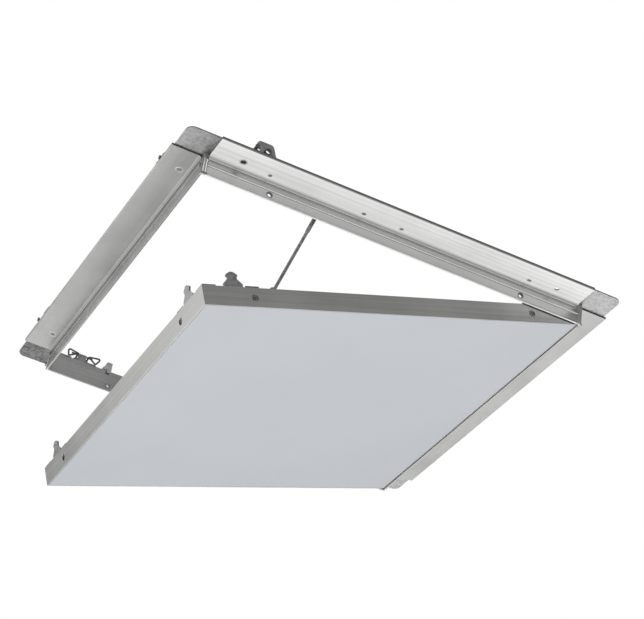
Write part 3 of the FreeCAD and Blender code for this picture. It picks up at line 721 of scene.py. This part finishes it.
def turned(name, profile, sides, hollow=False):
    # a ring grown ring by ring along a profile of radius and height
    bpy.ops.object.select_all(action="DESELECT")
    radius, height = profile[0]
    fill = "NOTHING" if hollow else "NGON"
    bpy.ops.mesh.primitive_circle_add(vertices=sides, radius=radius * mm, fill_type=fill)
    piece = bpy.context.object
    piece.name = piece.data.name = name
    bpy.ops.object.mode_set(mode="EDIT")
    bpy.ops.transform.translate(value=(0, 0, height * mm))
    for nextRadius, nextHeight in profile[1:]:
        bpy.ops.mesh.extrude_region_move(TRANSFORM_OT_translate={"value": (0, 0, (nextHeight - height) * mm)})
        ratio = nextRadius / radius
        bpy.ops.transform.resize(value=(ratio, ratio, 1), center_override=(0, 0, 0))
        radius, height = nextRadius, nextHeight
    if hollow:
        bpy.ops.mesh.select_all(action="DESELECT")
        bpy.ops.mesh.select_non_manifold()
        bpy.ops.mesh.bridge_edge_loops()
    bpy.ops.mesh.select_all(action="SELECT")
    bpy.ops.mesh.normals_make_consistent(inside=False)
    bpy.ops.object.mode_set(mode="OBJECT")
    return piece


def copyTo(place, pattern, name, node, replaced=True):
    # a copy with its own mesh, moved to its place
    piece = pattern.copy()
    piece.data = pattern.data.copy()
    piece.name = piece.data.name = name
    piece.data.transform(place)
    bpy.context.collection.objects.link(piece)
    fit(piece, node, replaced)


def copies(pattern, name, node, places):
    # one copy at each place, then the pattern goes
    for number, place in enumerate(places):
        copyTo(place, pattern, name + str(number + 1), node)
    bpy.data.objects.remove(pattern)


eyelet = {
    "sides": 40,
    "smoothTo": 40,
    "profile": [(1.75, 0.3), (1.95, 0.04), (2.85, 0.0), (2.98, 0.08), (2.4, 0.6), (2.35, 2.5), (2.95, 2.5),
                (3.0, 2.72), (2.86, 2.96), (2.5, 3.1), (2.05, 3.02), (1.75, 2.8)],
    "bore": 1.95,
    "setOut": -8.7,
    "eyelet": [("latch", 25.0), ("latch", 275.0)],
    "darkEyelet": [("near", 25.0), ("far", 275.0)],
}
rivet = {
    "sides": 32,
    "smoothTo": 40,
    "shank": 1.5,
    "chamfer": (0.2, 0.12),
    "frameBottom": 0.0,
    "flapBottom": -3.7,
    "head": [(2.5, 0.0), (2.6, 0.14), (2.56, 0.38), (2.28, 0.64), (1.7, 0.82), (0.9, 0.9), (0.5, 0.86)],
    "stop": {"top": 2.5, "out": -6.0, "at": [("near", 46.5), ("near", 253.5), ("far", 46.5), ("far", 253.5)]},
    "hinge": {"top": 2.45, "out": -11.0, "at": [("hinge", along) for along in (52.0, 58.0, 242.0, 248.0)]},
    "guide": {"top": 2.5, "out": -5.5, "at": [("near", 119.473), ("near", 149.473)]},
    "cleat": {"top": -1.1, "out": 6.0, "at": bothEnds(9.0)},
    "catch": {"top": -1.1, "out": 8.25, "at": [("near", 24.1), ("far", 273.3), ("latch", 24.1), ("latch", 274.1)]},
    "stay": {"top": -1.4, "out": 11.65, "at": [("near", 56.6)]},
}


def makeEyelets():
    # all dull, and those of the bright rails with painted shade, in a dark metal, in the bore
    for metal in ("eyelet", "darkEyelet"):
        pattern = turned("eyeletPattern", eyelet["profile"], eyelet["sides"], hollow=True)
        dress(pattern, "eyelet", metal)
        for face in pattern.data.polygons:
            face.material_index = face.center.xy.length < eyelet["bore"] * mm
        smooth(pattern, eyelet["smoothTo"])
        places = [onFrame(side, along, eyelet["setOut"], 0) for side, along in eyelet[metal]]
        copies(pattern, metal, "latch_rivets", places)


def makeRivets(kind, node, flap=False):
    # a chamfered shank with a low domed head
    facts = rivet[kind]
    shank = rivet["shank"]
    bottom = rivet["flapBottom" if flap else "frameBottom"]
    inset, rise = rivet["chamfer"]
    profile = [(shank - inset, bottom), (shank, bottom + rise), (shank, facts["top"])]
    profile += [(radius, facts["top"] + height) for radius, height in rivet["head"]]
    pattern = turned("rivetPattern", profile, rivet["sides"])
    dress(pattern, "flapRivet" if flap else "rivet")
    smooth(pattern, rivet["smoothTo"])
    place = onFlap if flap else onFrame
    copies(pattern, kind + "Rivet", node, [place(side, along, facts["out"], 0) for side, along in facts["at"]])


makeEyelets()
makeRivets("stop", "stop_rivets")
makeRivets("hinge", "hinge_rivets")
makeRivets("guide", "guide_rivets")
makeRivets("cleat", "cleat_rivets", flap=True)
makeRivets("catch", "catch_rivets", flap=True)
makeRivets("stay", "stay_bracket_rivet", flap=True)
print("eyelets and rivets are made")

edgeScrew = {
    "sides": 32,
    "smoothTo": 35,
    "profile": [(1.3, 0.0), (1.95, 0.05), (2.25, 0.2), (2.35, 0.45), (2.3, 0.62), (1.5, 1.2), (1.4, 1.6)],
    "threadPitch": 0.8,
    "thread": [(1.1, 0.3), (1.38, 0.5), (1.1, 0.7)],  # radius, and share of the pitch
    "point": 2.0,
    "tip": 0.15,
    "end": 14.6,
    "slotLength": 2.9,
    "slotWidth": 0.62,
    "slotDepth": 1.0,
    "slotTaper": 0.45,
    "slotTurns": (20, 110),
    "rise": -9.3,
    "setIn": 1.0,
    "reach": 38.0,
}


def crossSlot(turn):
    # one arm of the cross recess, narrower and shorter at its bottom
    bpy.ops.object.select_all(action="DESELECT")
    size = (edgeScrew["slotLength"] * mm, edgeScrew["slotWidth"] * mm, 2 * edgeScrew["slotDepth"] * mm)
    bpy.ops.mesh.primitive_cube_add(size=1.0, scale=size)
    cutter = bpy.context.object
    bpy.ops.object.transform_apply(location=True, rotation=True, scale=True)
    for face in cutter.data.polygons:
        face.select = face.normal.z > 0.9
    for edge in cutter.data.edges:
        edge.select = False
    for corner in cutter.data.vertices:
        corner.select = corner.co.z > 0
    bpy.ops.object.mode_set(mode="EDIT")
    taper = edgeScrew["slotTaper"]
    bpy.ops.transform.resize(value=(taper, taper, 1), center_override=(0, 0, 0))
    bpy.ops.object.mode_set(mode="OBJECT")
    cutter.data.transform(Matrix.Rotation(math.radians(turn), 4, "Z"))
    return cutter


def makeEdgeScrews():
    # a flat round head with a cross recess, and a threaded shank down to its point
    facts = edgeScrew
    profile = list(facts["profile"])
    height = profile[-1][1]
    while height < facts["end"] - facts["point"]:
        profile += [(radius, height + facts["threadPitch"] * share) for radius, share in facts["thread"]]
        height += facts["threadPitch"]
    profile.append((facts["tip"], facts["end"]))
    pattern = turned("screwPattern", profile, facts["sides"])
    for turn in facts["slotTurns"]:
        cutter = crossSlot(turn)
        pick(pattern)
        recess = pattern.modifiers.new("recess", "BOOLEAN")
        recess.operation = "DIFFERENCE"
        recess.object = cutter
        bpy.ops.object.modifier_apply(modifier=recess.name)
        bpy.data.objects.remove(cutter)
    dress(pattern, "edgeScrew")
    smooth(pattern, facts["smoothTo"])
    ends = bothEnds(facts["reach"])
    places = [onFlap(side, along, facts["setIn"], facts["rise"]) @ upright for side, along in ends]
    copies(pattern, "boardEdgeScrew", "board_edge_screws", places)


makeEdgeScrews()
print("edge screws are made")

cornerPost = {
    "smoothTo": 40,
    "segments": 3,
    "corners": {"near_latch": "near", "near_hinge": "hinge", "far_hinge": "far", "far_latch": "latch"},
    "foot": {"along": (-0.9, 3.4), "out": (-1.78, -1.42), "height": (-16.1, -14.9), "soften": 0.1,
             "metal": "darkEyelet"},
    "leftBead": {"along": (-0.72, 0.12), "out": (-1.78, -1.42), "height": (-14.9, -2.9), "soften": 0.15,
                 "metal": "bead"},
    "rightBead": {"along": (1.12, 2.05), "out": (-1.78, -1.42), "height": (-14.9, -3.4), "soften": 0.15,
                  "metal": "bead"},
    "pin": {"along": (1.1, 2.3), "out": (-1.95, -1.42), "height": (-2.9, -1.7), "soften": 0.3,
            "metal": "darkEyelet"},
}


def softBar(facts):
    # a small bar in a side's own frame, its edges rounded
    bpy.ops.object.select_all(action="DESELECT")
    middle = [(facts[key][0] + facts[key][1]) / 2 * mm for key in ("along", "out", "height")]
    size = [(facts[key][1] - facts[key][0]) * mm for key in ("along", "out", "height")]
    bpy.ops.mesh.primitive_cube_add(size=1.0, location=middle, scale=size)
    bar = bpy.context.object
    bpy.ops.object.transform_apply(location=True, rotation=True, scale=True)
    bpy.ops.object.mode_set(mode="EDIT")
    bpy.ops.mesh.select_all(action="SELECT")
    bpy.ops.mesh.bevel(offset=facts["soften"] * mm, segments=cornerPost["segments"], affect="EDGES")
    bpy.ops.object.mode_set(mode="OBJECT")
    dress(bar, facts["metal"])
    smooth(bar, cornerPost["smoothTo"])
    return bar


def makePostTrim():
    # two bright beads, a dark pin head and a folded foot on each corner post
    for part in ("foot", "leftBead", "rightBead", "pin"):
        pattern = softBar(cornerPost[part])
        for corner, side in cornerPost["corners"].items():
            name = camelName(corner) + part[0].upper() + part[1:]
            copyTo(onFrame(side, 0, 0, 0), pattern, name, corner + "_post", replaced=False)
        bpy.data.objects.remove(pattern)


makePostTrim()
print("corner posts are trimmed")

webBurr = {
    "sides": 32,
    "smoothTo": 40,
    "profile": [(1.6, 0.05), (1.95, -0.12), (2.35, -0.1), (2.5, 0.05), (1.74, 0.05), (1.74, 1.4), (2.1, 1.4),
                (2.0, 1.7), (1.7, 1.78), (1.6, 1.7)],
    "outerFace": -1.4,
    "height": -12.05,
    "at": (50.0, 250.0),
}


def makeWebBurrs():
    # the rolled burr that the punch leaves round each screw hole of the webs
    facts = webBurr
    pattern = turned("burrPattern", facts["profile"], facts["sides"], hollow=True)
    dress(pattern, "darkEyelet")
    smooth(pattern, facts["smoothTo"])
    for side in ("near", "far"):
        for number, along in enumerate(facts["at"]):
            place = onFrame(side, along, facts["outerFace"], facts["height"]) @ upright
            copyTo(place, pattern, side + "WebBurr" + str(number + 1), side + "_rail", replaced=False)
    bpy.data.objects.remove(pattern)


makeWebBurrs()
print("burrs are made")

bracketEar = {
    "sides": 24,
    "smoothTo": 40,
    "pin": [(1.0, 0.4), (1.0, -2.3), (1.45, -2.45), (1.6, -2.75), (1.6, -3.2), (1.35, -3.5), (0.7, -3.62)],
    "pinAlong": 28.2,
    "collar": [(1.85, 0.2), (1.9, -1.5), (2.1, -1.7), (2.35, -1.7), (2.5, -1.45), (2.5, 0.2)],
    "collarAlong": 36.8,
    "face": -20.2,
    "height": 6.3,
    "latches": {
        "near": ("near", False),
        "far": ("far", True),
        "side_far": ("latch", False),
        "side_near": ("latch", True),
    },
}


def makeEarTrim():
    # on each latch bracket's ear a dark headed pin, and a rolled collar round the larger hole
    facts = bracketEar
    for part in ("pin", "collar"):
        pattern = turned("earPattern", facts[part], facts["sides"], hollow=part == "collar")
        dress(pattern, "darkEyelet")
        smooth(pattern, facts["smoothTo"])
        for latch, (side, fromFarEnd) in facts["latches"].items():
            along = facts[part + "Along"]
            if fromFarEnd:
                along = 2 * panel["halfOpening"] - along
            place = onFrame(side, along, facts["face"], facts["height"]) @ upright
            name = camelName(latch) + "Ear" + part.capitalize()
            copyTo(place, pattern, name, latch + "_latch_bracket", replaced=False)
        bpy.data.objects.remove(pattern)


makeEarTrim()
print("bracket ears are trimmed")
